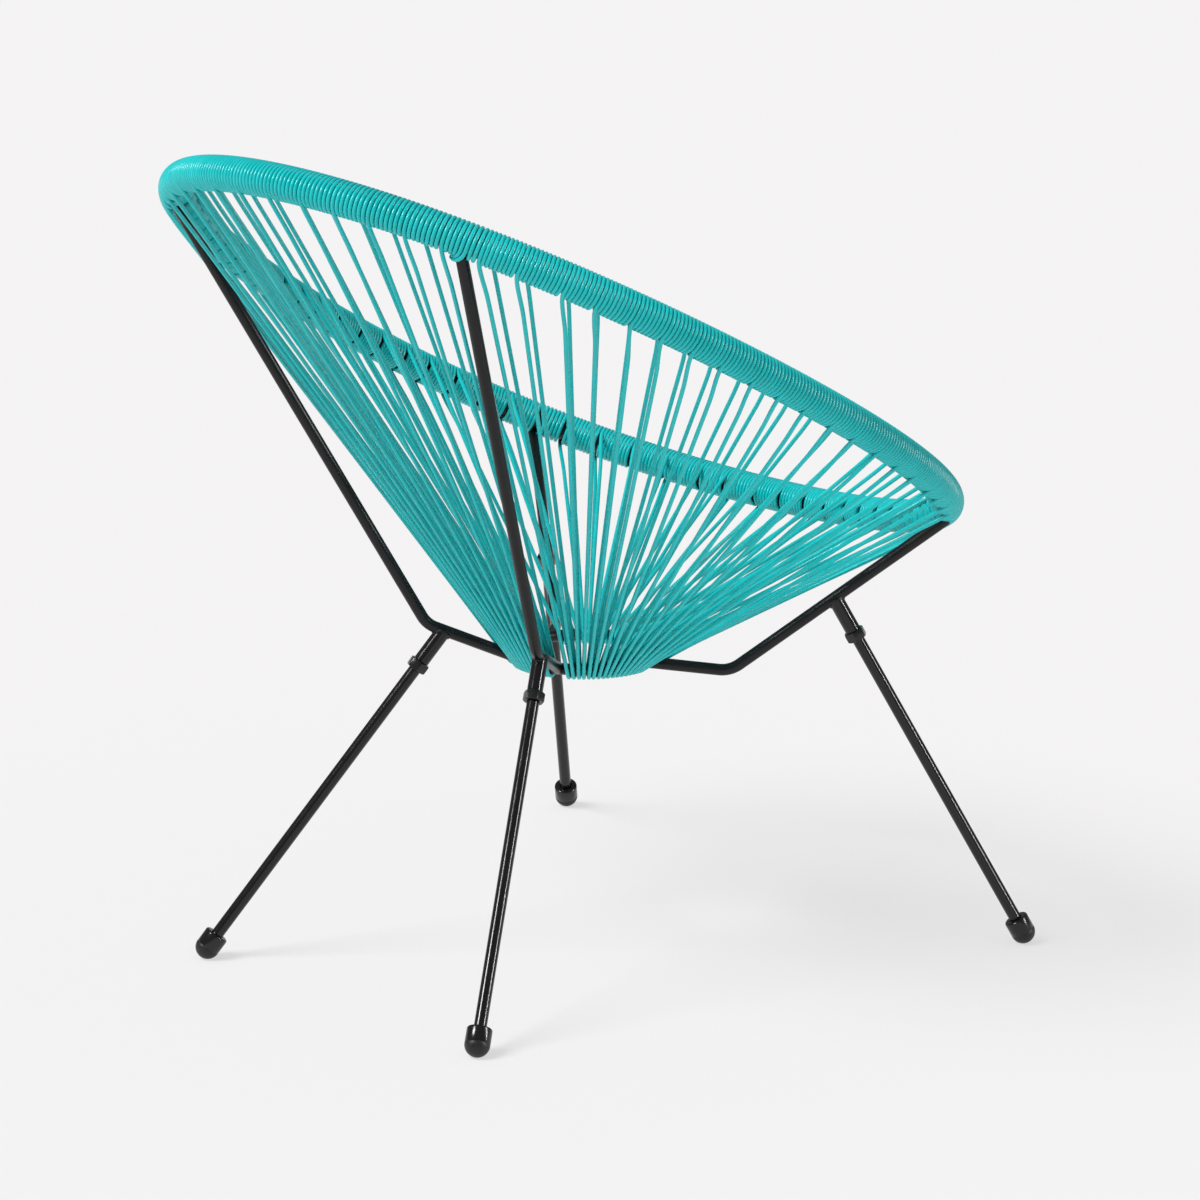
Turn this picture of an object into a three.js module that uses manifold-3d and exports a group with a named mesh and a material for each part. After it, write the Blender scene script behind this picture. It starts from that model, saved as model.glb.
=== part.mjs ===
// A cord-strung lounge chair: an egg-shaped steel hoop leans back over a small ring,
// four bent struts join the two, and four screwed-in legs carry the struts.
// Plastic cord is wound round the hoop and runs down to the ring and back as the seat.
// Millimetres, +Z up, the sitter faces -Y and the sitter's left hand is at +X.
// The origin is on the floor, under the middle of the hoop.
import * as THREE from "three";
import { mergeVertices } from "three/addons/utils/BufferGeometryUtils.js";
import Module from "manifold-3d";

const wasm = await Module();
wasm.setup();

// Hoop of round steel tube, in a plane that leans back
const hoopHalfWidth = 376.8;
const hoopHalfLength = 429.6;
const hoopCentreHeight = 621.9;
const hoopTubeDiameter = 25.4;
const hoopLean = THREE.MathUtils.degToRad(29.86);
const eggShares = [-0.1502, 0.0721, 0.02]; // the hoop narrows to the top with the powers of cos(turn)

// Ring of round bar at the bottom of the seat
const ringRadius = 71.8;
const ringBarDiameter = 12;
const ringHeight = 300.5;
const ringForward = 50.9; // the ring's centre lies this far in front of the hoop's

// Seat cord
const cordDiameter = 4.2;
const cordGap = 0.3; // between the cord and the steel that it is wound on
const grooveDepth = 0.9; // the winding's dip where a strand leaves the hoop
const strandStartShare = 0.75; // of the way along its tangent to where a strand is clear of the winding
const strutFootRoom = 3.1; // more room beside a strut's foot, where strands climb over it

// Struts of round bar
const strutDiameter = 12;
const strutBendRadius = 28;
const seatGap = 0.3; // between steel pieces that are welded or rest on each other

// Sockets, threaded legs, lock nuts and foot caps
const socketDiameter = 16;
const socketLength = 39;
const socketBoreDepth = 25;
const threadDiameter = 12;
const threadLength = 34;
const threadGap = 0.3;
const nutAcrossFlats = 19;
const nutThickness = 10;
const nutChamfer = 1.1;
const legDiameter = 12.7;
const legChamfer = 0.8;
const capDiameter = 25.2;
const capStraightLength = 16.7;
const capEdgeRadius = 2.2;
const capFlatDepth = 0.4; // how much of the round foot is cut flat by the floor
const capGap = 0.3; // between the leg and the bore of its cap
const legEndAboveDome = 1.5; // the leg stops this far above the middle of the dome

// The four struts: where each leaves the hoop and the ring, how its foot runs and where the leg goes
const rearStrut = {
  hoopTurn: THREE.MathUtils.degToRad(36.58),
  underHoop: 9.1,
  endOverrun: 2,
  ringTurn: THREE.MathUtils.degToRad(24.9),
  footAzimuth: THREE.MathUtils.degToRad(33.18),
  footRise: THREE.MathUtils.degToRad(23.18),
  footLength: 102.1,
  socketFromBend: -19.2, // back from the bend, on the foot
  legAzimuth: THREE.MathUtils.degToRad(32.42),
  legLean: THREE.MathUtils.degToRad(37.76),
};
const frontStrut = {
  hoopTurn: THREE.MathUtils.degToRad(135.96),
  underHoop: 20.9,
  endOverrun: 10,
  ringTurn: THREE.MathUtils.degToRad(102),
  footAzimuth: THREE.MathUtils.degToRad(138.3),
  footRise: THREE.MathUtils.degToRad(-6.88),
  footLength: 89.4,
  socketFromBend: 133.6, // on from the bend, up the strut
  legAzimuth: THREE.MathUtils.degToRad(139.63),
  legLean: THREE.MathUtils.degToRad(29.01),
};

// Turns of cord in each group between two strands, counted round the hoop from strut to strut
const leftTurns = [2, 8, 8, 9, 8, 8, 9, 8, 9, 8, 9, 8, 9, 9, 8, 9, 8, 9, 9, 8, 8];
const frontTurns = [5, 10, 10, 10, 11, 8, 10, 9, 9, 8, 8, 7, 8, 8, 8, 7, 7, 7, 6, 1];
const rightTurns = [7, 8, 8, 7, 10, 8, 9, 9, 8, 9, 8, 8, 9, 8, 8, 8, 9, 8, 11, 9, 2];
const backTurns = [2, 8, 8, 8, 8, 9, 9, 9, 9, 8, 9, 8, 5];
// Strands on each arc of the ring between two struts: left, front, right and back
const ringArcStrands = [17, 25, 17, 12];

// Facets
const hoopSides = 12;
const windingSides = 8;
const strandSides = 4;
const barSides = 12;
const ringSides = 10;
const ringSegments = 48;
const bendSteps = 6;
const turnedSides = 20;
const capSides = 16;
const hoopSamples = 1440;

const steel = { color: 0x17181a, roughness: 0.32, metalness: 0.35 };
const nutSteel = { color: 0x1b1c1e, roughness: 0.38, metalness: 0.45 };
const rubber = { color: 0x232325, roughness: 0.6, metalness: 0 };
const plasticCord = { color: 0x2fb9b6, roughness: 0.42, metalness: 0 };

const hoopRadius = hoopTubeDiameter / 2;
const ringBarRadius = ringBarDiameter / 2;
const cordRadius = cordDiameter / 2;
const strutRadius = strutDiameter / 2;
const windingRadius = hoopRadius + cordGap + cordDiameter;
const fullTurn = 2 * Math.PI;

const chair = new THREE.Group();

function addPiece(name, geometry, finish, parent = chair) {
  const mesh = new THREE.Mesh(geometry, new THREE.MeshStandardMaterial(finish));
  mesh.name = name;
  parent.add(mesh);
  return mesh;
}

// Solids for joining and cutting

function solidOf(geometry) {
  const bare = geometry.clone();
  bare.deleteAttribute("normal");
  bare.deleteAttribute("uv");
  const merged = mergeVertices(bare);
  return new wasm.Manifold(
    new wasm.Mesh({
      numProp: 3,
      vertProperties: merged.attributes.position.array,
      triVerts: new Uint32Array(merged.index.array),
    }),
  );
}

function geometryOf(solid) {
  const mesh = solid.getMesh();
  const geometry = new THREE.BufferGeometry();
  geometry.setAttribute("position", new THREE.BufferAttribute(mesh.vertProperties, 3));
  geometry.setIndex(new THREE.BufferAttribute(mesh.triVerts, 1));
  geometry.computeVertexNormals();
  return geometry;
}

// Hoop curve: turn 0 is the middle of the back, a quarter turn the left side, half a turn the front

const hoopNormal = new THREE.Vector3(0, -Math.sin(hoopLean), Math.cos(hoopLean));

function hoopPoint(turn) {
  const c = Math.cos(turn);
  const egg = eggShares.reduce((sum, share, power) => sum + share * c ** (power + 1), 1);
  const along = hoopHalfLength * c;
  return new THREE.Vector3(
    hoopHalfWidth * Math.sin(turn) * egg,
    along * Math.cos(hoopLean),
    hoopCentreHeight + along * Math.sin(hoopLean),
  );
}

const hoopArc = [0];
for (let i = 1; i <= hoopSamples; i += 1) {
  const step = hoopPoint((fullTurn * i) / hoopSamples).distanceTo(
    hoopPoint((fullTurn * (i - 1)) / hoopSamples),
  );
  hoopArc.push(hoopArc[i - 1] + step);
}
const hoopLength = hoopArc[hoopSamples];

function arcAtTurn(turn) {
  const laps = Math.floor(turn / fullTurn);
  const place = (turn / fullTurn - laps) * hoopSamples;
  const i = Math.min(Math.floor(place), hoopSamples - 1);
  return laps * hoopLength + THREE.MathUtils.lerp(hoopArc[i], hoopArc[i + 1], place - i);
}

function turnAtArc(arc) {
  const laps = Math.floor(arc / hoopLength);
  const rest = arc - laps * hoopLength;
  const i = Math.min(hoopArc.findLastIndex((length) => length <= rest), hoopSamples - 1);
  const part = (rest - hoopArc[i]) / (hoopArc[i + 1] - hoopArc[i]);
  return (laps + (i + part) / hoopSamples) * fullTurn;
}

// The hoop's centre, its direction and the inward direction in its plane at a length along it
function hoopFrame(arc) {
  const turn = turnAtArc(arc);
  const step = fullTurn / hoopSamples;
  const centre = hoopPoint(turn);
  const along = hoopPoint(turn + step).sub(hoopPoint(turn - step)).normalize();
  const inward = new THREE.Vector3().crossVectors(along, hoopNormal).normalize();
  if (inward.dot(hoopPoint(turn + fullTurn / 2).sub(centre)) < 0) inward.negate();
  return { centre, along, inward };
}

// A ring of points round the hoop's curve
function hoopSection(arc, radius, sides) {
  const { centre, inward } = hoopFrame(arc);
  return Array.from({ length: sides }, (_, i) => {
    const angle = (fullTurn * i) / sides;
    return centre
      .clone()
      .addScaledVector(inward, radius * Math.cos(angle))
      .addScaledVector(hoopNormal, radius * Math.sin(angle));
  });
}

// Joins rings of points into a skin that comes back to its first ring
function closedSkin(rings) {
  const sides = rings[0].length;
  const positions = rings.flat().flatMap((point) => point.toArray());
  const index = [];
  rings.forEach((_, r) => {
    const here = r * sides;
    const next = ((r + 1) % rings.length) * sides;
    for (let i = 0; i < sides; i += 1) {
      const j = (i + 1) % sides;
      index.push(here + i, here + j, next + j, here + i, next + j, next + i);
    }
  });
  const geometry = new THREE.BufferGeometry();
  geometry.setAttribute("position", new THREE.Float32BufferAttribute(positions, 3));
  geometry.setIndex(index);
  geometry.computeVertexNormals();
  return geometry;
}

// Bars along a path of points, with a ring of facets at each point
class PointPath extends THREE.Curve {
  constructor(points) {
    super();
    this.points = points;
  }

  getPointAt(share, target = new THREE.Vector3()) {
    const place = share * (this.points.length - 1);
    const i = Math.min(Math.floor(place), this.points.length - 2);
    return target.lerpVectors(this.points[i], this.points[i + 1], place - i);
  }

  getTangentAt(share, target = new THREE.Vector3()) {
    const last = this.points.length - 1;
    const i = Math.round(share * last);
    const before = this.points[Math.max(i - 1, 0)];
    const here = this.points[i];
    const after = this.points[Math.min(i + 1, last)];
    const arriving = here.clone().sub(before).normalize();
    const leaving = after.clone().sub(here).normalize();
    return target.addVectors(arriving, leaving).normalize();
  }
}

function circleShape(radius, sides) {
  const corners = Array.from({ length: sides }, (_, i) => {
    const angle = (fullTurn * i) / sides;
    return new THREE.Vector2(radius * Math.cos(angle), radius * Math.sin(angle));
  });
  return new THREE.Shape(corners);
}

function barAlong(points, radius, sides) {
  return new THREE.ExtrudeGeometry(circleShape(radius, sides), {
    steps: points.length - 1,
    extrudePath: new PointPath(points),
  });
}

// A direction from its azimuth, counted from the back towards the left, and its rise
function direction(azimuth, rise) {
  return new THREE.Vector3(
    Math.sin(azimuth) * Math.cos(rise),
    Math.cos(azimuth) * Math.cos(rise),
    Math.sin(rise),
  );
}

function ringPoint(turn) {
  return new THREE.Vector3(0, -ringForward, ringHeight).addScaledVector(direction(turn, 0), ringRadius);
}

// Struts

// The strut's centreline from the ring, round its bend, to the hoop; side is 1 on the left, -1 on the right
function strutRoute(shape, side) {
  const ringEnd = ringPoint(side * shape.ringTurn);
  const bend = ringEnd
    .clone()
    .addScaledVector(direction(side * shape.footAzimuth, shape.footRise), shape.footLength);
  const hoopEnd = hoopPoint(side * shape.hoopTurn).addScaledVector(hoopNormal, -shape.underHoop);
  const foot = bend.clone().sub(ringEnd).normalize();
  const arm = hoopEnd.clone().sub(bend).normalize();
  return { ringEnd, bend, hoopEnd, foot, arm };
}

function strutPoints({ ringEnd, bend, hoopEnd, foot, arm }, overrun) {
  const half = foot.angleTo(arm) / 2;
  const setback = strutBendRadius * Math.tan(half);
  const bendStart = bend.clone().addScaledVector(foot, -setback);
  const inside = arm.clone().sub(foot).normalize();
  const middle = bend.clone().addScaledVector(inside, strutBendRadius / Math.cos(half));
  const spoke = bendStart.clone().sub(middle);
  const axis = new THREE.Vector3().crossVectors(foot, arm).normalize();
  const points = [ringEnd.clone()];
  for (let i = 0; i <= bendSteps; i += 1) {
    points.push(spoke.clone().applyAxisAngle(axis, (2 * half * i) / bendSteps).add(middle));
  }
  points.push(hoopEnd.clone().addScaledVector(arm, overrun));
  return points;
}

const corners = [
  { name: "rear_left", shape: rearStrut, side: 1 },
  { name: "front_left", shape: frontStrut, side: 1 },
  { name: "front_right", shape: frontStrut, side: -1 },
  { name: "rear_right", shape: rearStrut, side: -1 },
];
corners.forEach((corner) => {
  corner.route = strutRoute(corner.shape, corner.side);
  corner.hoopTurn = corner.side > 0 ? corner.shape.hoopTurn : fullTurn - corner.shape.hoopTurn;
});

// The bare stretch of hoop that a strut needs: how far before and after its place the winding stops
function bareStretch({ shape, route, hoopTurn }) {
  const place = arcAtTurn(hoopTurn);
  const { centre, along } = hoopFrame(place);
  const reach = windingRadius + strutRadius;
  const halfWidth = (strutRadius + seatGap) * Math.sin(route.arm.angleTo(along));
  let before = 0;
  let after = 0;
  const samples = 60;
  for (let i = 0; i <= samples; i += 1) {
    const down = THREE.MathUtils.lerp(-shape.endOverrun, 2 * reach, i / samples);
    const offset = route.hoopEnd.clone().addScaledVector(route.arm, -down).sub(centre);
    const lengthwise = offset.dot(along);
    if (offset.addScaledVector(along, -lengthwise).length() < reach) {
      before = Math.max(before, halfWidth - lengthwise);
      after = Math.max(after, halfWidth + lengthwise);
    }
  }
  return { place, before: before + cordGap, after: after + cordGap };
}
corners.forEach((corner) => {
  corner.bare = bareStretch(corner);
});

// Seat cord: four lengths, each wound round the hoop from one strut to the next

const sectors = [
  { name: "seat_cord_left", turns: leftTurns, from: corners[0], to: corners[1] },
  { name: "seat_cord_front", turns: frontTurns, from: corners[1], to: corners[2] },
  { name: "seat_cord_right", turns: rightTurns, from: corners[2], to: corners[3] },
  { name: "seat_cord_back", turns: backTurns, from: corners[3], to: corners[0] },
];

// Lengths along the hoop where each sector begins, where a strand leaves after each group, and its end
sectors.forEach((sector) => {
  const start = sector.from.bare.place + sector.from.bare.after;
  const lap = sector.to.bare.place < sector.from.bare.place ? hoopLength : 0;
  const end = sector.to.bare.place + lap - sector.to.bare.before;
  const total = sector.turns.reduce((sum, count) => sum + count, 0);
  let wound = 0;
  sector.pitch = (end - start) / total;
  sector.places = [start];
  sector.turns.forEach((count) => {
    wound += count;
    sector.places.push(start + wound * sector.pitch);
  });
});

// The strand's turn round the ring bar is drawn with three corners of 60 degrees
const ringWrapRadius = ringBarRadius + cordGap + cordRadius;
const turnCorners = 3;
const turnStep = Math.PI / turnCorners;
const turnReach = ringWrapRadius / Math.cos(turnStep / 2);

// Each arc of the ring between two struts, as far as its first and last strand can lie
const ringArcs = corners.map((corner, i) => {
  const next = corners[(i + 1) % corners.length];
  const lap = i === corners.length - 1 ? fullTurn : 0;
  const clear = (strut, towards) => {
    const need = strutRadius + cordRadius + seatGap;
    const inside = ringRadius + ringBarRadius;
    const outside = ringRadius + turnReach + cordRadius;
    const drift = strut.side * (strut.shape.footAzimuth - strut.shape.ringTurn);
    const sideways = (outside - ringRadius) * Math.tan(drift) * towards;
    return Math.asin(Math.max(need / inside, (need + strutFootRoom + sideways) / outside));
  };
  const turnOf = (strut) => (strut.side > 0 ? strut.shape.ringTurn : fullTurn - strut.shape.ringTurn);
  return {
    start: turnOf(corner) + clear(corner, 1),
    end: turnOf(next) + lap - clear(next, -1),
    strands: ringArcStrands[i],
  };
});
const ringTurns = ringArcs.flatMap(({ start, end, strands }) =>
  Array.from({ length: strands }, (_, i) => THREE.MathUtils.lerp(start, end, i / (strands - 1))),
);

// The straight part of a strand: the common tangent of the hoop's winding and the ring's turn.
// side is 1 for the outer strand and -1 for the inner one
function strandEnds(arc, ringTurn, side) {
  const { centre, along } = hoopFrame(arc);
  const ringCentre = ringPoint(ringTurn);
  const ringAlong = direction(ringTurn + fullTurn / 4, 0);
  const outward = centre.clone().setY(centre.y + ringForward).setZ(0).normalize();
  const outDown = outward.setZ(-1);
  const hoopOffset = new THREE.Vector3();
  const ringOffset = new THREE.Vector3();
  const passes = 12;
  for (let i = 0; i < passes; i += 1) {
    const run = ringCentre.clone().add(ringOffset).sub(centre).sub(hoopOffset).normalize();
    hoopOffset.crossVectors(run, along).normalize();
    if (hoopOffset.dot(outDown) < 0) hoopOffset.negate();
    hoopOffset.multiplyScalar(side * (hoopRadius + cordGap + cordRadius));
    ringOffset.crossVectors(run, ringAlong).normalize();
    if (ringOffset.dot(outDown) < 0) ringOffset.negate();
    ringOffset.multiplyScalar(side * ringWrapRadius);
  }
  const tangentPoint = centre.clone().add(hoopOffset);
  const clearOfWinding = Math.sqrt(windingRadius ** 2 - hoopOffset.lengthSq());
  const run = ringCentre.clone().add(ringOffset).sub(tangentPoint);
  const hoopEnd = tangentPoint.add(run.setLength(strandStartShare * clearOfWinding));
  return { hoopEnd, ringCentre, ringOffset };
}

// Down the outside, under the ring and up the inside to the next turn of the winding
function strandRoute(place, pitch, ringTurn) {
  const outer = strandEnds(place, ringTurn, 1);
  const inner = strandEnds(place + pitch, ringTurn, -1);
  const axis = direction(ringTurn + fullTurn / 4, 0);
  const under = new THREE.Vector3(0, 0, -1);
  const first = outer.ringOffset.clone().applyAxisAngle(axis, turnStep);
  const spin = first.dot(under) > outer.ringOffset.dot(under) ? 1 : -1;
  const corner = (i) =>
    outer.ringOffset
      .clone()
      .setLength(turnReach)
      .applyAxisAngle(axis, spin * turnStep * (i + 1 / 2))
      .add(outer.ringCentre);
  return [outer.hoopEnd, ...Array.from({ length: turnCorners }, (_, i) => corner(i)), inner.hoopEnd];
}

// The winding as a ribbed sleeve, one rib for each group of turns
function windingSleeve({ places }) {
  const boreRadius = (hoopRadius + cordGap) / Math.cos(Math.PI / windingSides);
  const last = places.length - 1;
  const bore = places.map((place) => hoopSection(place, boreRadius, windingSides));
  const outside = [];
  places.forEach((place, i) => {
    const atEnd = i === 0 || i === last;
    outside.push(hoopSection(place, windingRadius - (atEnd ? 0 : grooveDepth), windingSides));
    if (i < last) {
      outside.push(hoopSection((place + places[i + 1]) / 2, windingRadius, windingSides));
    }
  });
  return closedSkin([...outside.reverse(), ...bore]);
}

// Solids whose faces point inwards are turned round
function outwardSolid(geometry) {
  const solid = solidOf(geometry);
  if (solid.volume() > 0) return solid;
  const index = geometry.index.array;
  for (let i = 0; i < index.length; i += 3) {
    [index[i], index[i + 1]] = [index[i + 1], index[i]];
  }
  return solidOf(geometry);
}

let strandCount = 0;
sectors.forEach((sector) => {
  const strands = sector.places
    .slice(1, -1)
    .map((place) => {
      const route = strandRoute(place, sector.pitch, ringTurns[strandCount]);
      strandCount += 1;
      return outwardSolid(barAlong(route, cordRadius, strandSides));
    });
  const sleeve = outwardSolid(windingSleeve(sector));
  const cord = strands.reduce((joined, strand) => joined.add(strand), sleeve);
  addPiece(sector.name, geometryOf(cord), plasticCord);
});

// Hoop, with a ring of facets wherever the winding has one

const hoopArcs = sectors.flatMap(({ places, to }) => [
  ...places,
  to.bare.place + (places[0] > to.bare.place ? hoopLength : 0),
]);

function hoopSolid(radius) {
  const rings = hoopArcs.map((arc) => hoopSection(arc, radius, hoopSides));
  return outwardSolid(closedSkin(rings));
}
const hoopCutter = hoopSolid(hoopRadius + seatGap);
addPiece("hoop", geometryOf(hoopSolid(hoopRadius)), steel);

// Bottom ring

function ringGeometry(barRadius) {
  const geometry = new THREE.TorusGeometry(ringRadius, barRadius, ringSides, ringSegments);
  return geometry.translate(0, -ringForward, ringHeight);
}
addPiece("bottom_ring", ringGeometry(ringBarRadius), steel);
const ringCutter = solidOf(ringGeometry(ringBarRadius + seatGap));

// Struts, coped to the hoop and the ring

corners.forEach((corner) => {
  const points = strutPoints(corner.route, corner.shape.endOverrun);
  corner.cutter = outwardSolid(barAlong(points, strutRadius + seatGap, barSides));
  const bar = outwardSolid(barAlong(points, strutRadius, barSides));
  const coped = bar.subtract(hoopCutter).subtract(ringCutter);
  const pieces = coped.decompose().sort((a, b) => b.volume() - a.volume());
  addPiece(`strut_${corner.name}`, geometryOf(pieces[0]), steel);
});

// Legs: each group's +Z runs down the leg from the strut's axis, where the socket is welded on

function turned(profile, sides) {
  const outline = profile.map(([radius, z]) => new THREE.Vector2(radius, z));
  return new THREE.LatheGeometry(outline, sides).rotateX(Math.PI / 2);
}

const socketStart = strutRadius / 6; // the socket's ears reach nearly to the strut's axis
const nutStart = socketLength + seatGap;
const legShoulder = nutStart + nutThickness + seatGap;
const threadRadius = threadDiameter / 2;
const legRadius = legDiameter / 2;
const capRadius = capDiameter / 2;

function socketGeometry(strutCutter) {
  const boreRadius = threadRadius + threadGap;
  const boreTop = socketLength - socketBoreDepth;
  const outside = socketDiameter / 2;
  const profile = [
    [0, socketStart],
    [outside, socketStart],
    [outside, socketLength],
    [boreRadius, socketLength],
    [boreRadius, boreTop],
    [0, boreTop],
  ];
  const coped = outwardSolid(turned(profile, turnedSides)).subtract(strutCutter);
  return geometryOf(coped.decompose().sort((a, b) => b.volume() - a.volume())[0]);
}

function nutGeometry() {
  const corner = nutAcrossFlats / Math.sqrt(3);
  const outline = circleShape(corner, 6);
  const boreRadius = (threadRadius + threadGap) / Math.cos(Math.PI / turnedSides);
  outline.holes.push(circleShape(boreRadius, turnedSides));
  const prism = new THREE.ExtrudeGeometry(outline, { depth: nutThickness, bevelEnabled: false });
  const flat = nutAcrossFlats / 2;
  const round = turned(
    [
      [0, 0],
      [flat, 0],
      [corner, nutChamfer],
      [corner, nutThickness - nutChamfer],
      [flat, nutThickness],
      [0, nutThickness],
    ],
    turnedSides,
  );
  return geometryOf(outwardSolid(prism).intersect(outwardSolid(round))).translate(0, 0, nutStart);
}

// The leg is one bar: a threaded end in the nut and the socket, then the plain leg down to its cap
function legGeometry(domeCentre) {
  const top = legShoulder - threadLength;
  const end = domeCentre - legEndAboveDome;
  const profile = [
    [0, top],
    [threadRadius - legChamfer, top],
    [threadRadius, top + legChamfer],
    [threadRadius, legShoulder],
    [legRadius, legShoulder],
    [legRadius, end - legChamfer],
    [legRadius - legChamfer, end],
    [0, end],
  ];
  return geometryOf(outwardSolid(turned(profile, turnedSides)));
}

// A foot cap: a straight sleeve with a rounded edge, closed by a dome that stands on the floor
function capGeometry(domeCentre, legFrame) {
  const boreRadius = (legRadius + capGap) / Math.cos(Math.PI / capSides);
  const mouth = domeCentre - capStraightLength;
  const boreEnd = domeCentre - legEndAboveDome + capGap;
  const edgeSteps = 3;
  const domeSteps = 6;
  const profile = [
    [0, boreEnd],
    [boreRadius, boreEnd],
    [boreRadius, mouth],
  ];
  for (let i = 0; i <= edgeSteps; i += 1) {
    const angle = (Math.PI / 2) * (i / edgeSteps);
    profile.push([
      capRadius - capEdgeRadius + capEdgeRadius * Math.sin(angle),
      mouth + capEdgeRadius - capEdgeRadius * Math.cos(angle),
    ]);
  }
  for (let i = 0; i < domeSteps; i += 1) {
    const angle = (Math.PI / 2) * (i / domeSteps);
    profile.push([capRadius * Math.cos(angle), domeCentre + capRadius * Math.sin(angle)]);
  }
  profile.push([0, domeCentre + capRadius]);
  const floor = new THREE.BoxGeometry(2 * capDiameter, 2 * capDiameter, capDiameter);
  floor.translate(0, 0, -capRadius);
  const footPoint = new THREE.Vector3(0, 0, domeCentre).applyMatrix4(legFrame);
  floor.translate(footPoint.x, footPoint.y, 0);
  floor.applyMatrix4(legFrame.clone().invert());
  return geometryOf(outwardSolid(turned(profile, capSides)).subtract(outwardSolid(floor)));
}

corners.forEach(({ name, shape, side, route, cutter }) => {
  const onArm = shape.socketFromBend > 0 ? route.arm : route.foot;
  const joint = route.bend.clone().addScaledVector(onArm, shape.socketFromBend);
  const down = direction(side * shape.legAzimuth, shape.legLean - Math.PI / 2);
  const leg = new THREE.Group();
  leg.position.copy(joint);
  leg.quaternion.setFromUnitVectors(new THREE.Vector3(0, 0, 1), down);
  leg.updateMatrix();
  chair.add(leg);
  const domeHeight = capRadius - capFlatDepth;
  const domeCentre = (joint.z - domeHeight) / -down.z;
  const strutCutter = cutter.transform(leg.matrix.clone().invert().elements);
  addPiece(`socket_${name}`, socketGeometry(strutCutter), steel, leg);
  addPiece(`lock_nut_${name}`, nutGeometry(), nutSteel, leg);
  addPiece(`leg_${name}`, legGeometry(domeCentre), steel, leg);
  addPiece(`foot_cap_${name}`, capGeometry(domeCentre, leg.matrix), rubber, leg);
});

export default chair;
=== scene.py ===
import math
import random

import bmesh
import bpy
from mathutils import Matrix, Vector, noise


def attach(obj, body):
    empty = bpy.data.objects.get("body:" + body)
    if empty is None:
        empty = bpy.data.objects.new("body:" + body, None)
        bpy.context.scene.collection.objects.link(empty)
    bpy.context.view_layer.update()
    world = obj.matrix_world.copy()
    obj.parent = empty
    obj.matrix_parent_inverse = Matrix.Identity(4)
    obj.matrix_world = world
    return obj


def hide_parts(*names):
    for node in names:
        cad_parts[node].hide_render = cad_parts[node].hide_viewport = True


# A cord-strung lounge chair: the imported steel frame, dressed with wound cord, coated steel and rubber feet
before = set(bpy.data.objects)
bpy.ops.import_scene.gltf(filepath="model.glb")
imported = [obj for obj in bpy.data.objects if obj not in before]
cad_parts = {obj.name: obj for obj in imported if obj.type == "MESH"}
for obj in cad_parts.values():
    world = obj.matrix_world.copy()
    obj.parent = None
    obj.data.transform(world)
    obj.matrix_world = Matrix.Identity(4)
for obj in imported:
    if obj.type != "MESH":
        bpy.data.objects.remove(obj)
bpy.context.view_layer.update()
print("frame loaded:", len(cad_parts), "solids")

fullTurn = 2 * math.pi
upward = Vector((0, 0, 1))

# Camera, floor and light

cameraPlace = {
    "place": Vector((-3.1800, 2.9670, 1.4525)),
    "azimuth": math.radians(226.2864),
    "elevation": math.radians(14.0530),
    "roll": math.radians(-0.1726),
    "lens": 132.512,
    "sensor": 36,
    "shift": -0.0004,
    "clip": (0.05, 100),
}


def makeCamera(c):
    data = bpy.data.cameras.new("studioCamera")
    data.lens = c["lens"]
    data.sensor_width = c["sensor"]
    data.shift_x = c["shift"]
    data.clip_start, data.clip_end = c["clip"]
    camera = bpy.data.objects.new("studioCamera", data)
    bpy.context.scene.collection.objects.link(camera)
    back = Vector((
        math.sin(c["azimuth"]) * math.cos(c["elevation"]),
        -math.cos(c["azimuth"]) * math.cos(c["elevation"]),
        math.sin(c["elevation"]),
    ))
    level = (-back).cross(upward).normalized()
    top = level.cross(-back)
    right = level * math.cos(c["roll"]) + top * math.sin(c["roll"])
    over = -level * math.sin(c["roll"]) + top * math.cos(c["roll"])
    turn = Matrix((right, over, back)).transposed().to_4x4()
    camera.matrix_world = Matrix.Translation(c["place"]) @ turn
    bpy.context.scene.camera = camera


makeCamera(cameraPlace)


def newMaterial(name):
    material = bpy.data.materials.new(name)
    material.use_nodes = True
    tree = material.node_tree
    tree.nodes.clear()
    output = tree.nodes.new("ShaderNodeOutputMaterial")
    return material, tree, output


def addNode(tree, kind, settings=None, inputs=None):
    node = tree.nodes.new("ShaderNode" + kind)
    for key, value in (settings or {}).items():
        setattr(node, key, value)
    for key, value in (inputs or {}).items():
        if isinstance(value, bpy.types.NodeSocket):
            tree.links.new(value, node.inputs[key])
        else:
            node.inputs[key].default_value = value
    return node


def addRange(tree, value, source, target):
    return addNode(tree, "MapRange", inputs={
        "Value": value,
        "From Min": source[0],
        "From Max": source[1],
        "To Min": target[0],
        "To Max": target[1],
    }).outputs["Result"]


# 1 for a ray of one of these kinds, 0 for any other
def rayMask(tree, rays, kinds):
    mask = rays.outputs[kinds[0]]
    for kind in kinds[1:]:
        mask = addNode(tree, "Math", {"operation": "ADD", "use_clamp": True}, {
            0: mask,
            1: rays.outputs[kind],
        }).outputs[0]
    return mask


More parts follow.
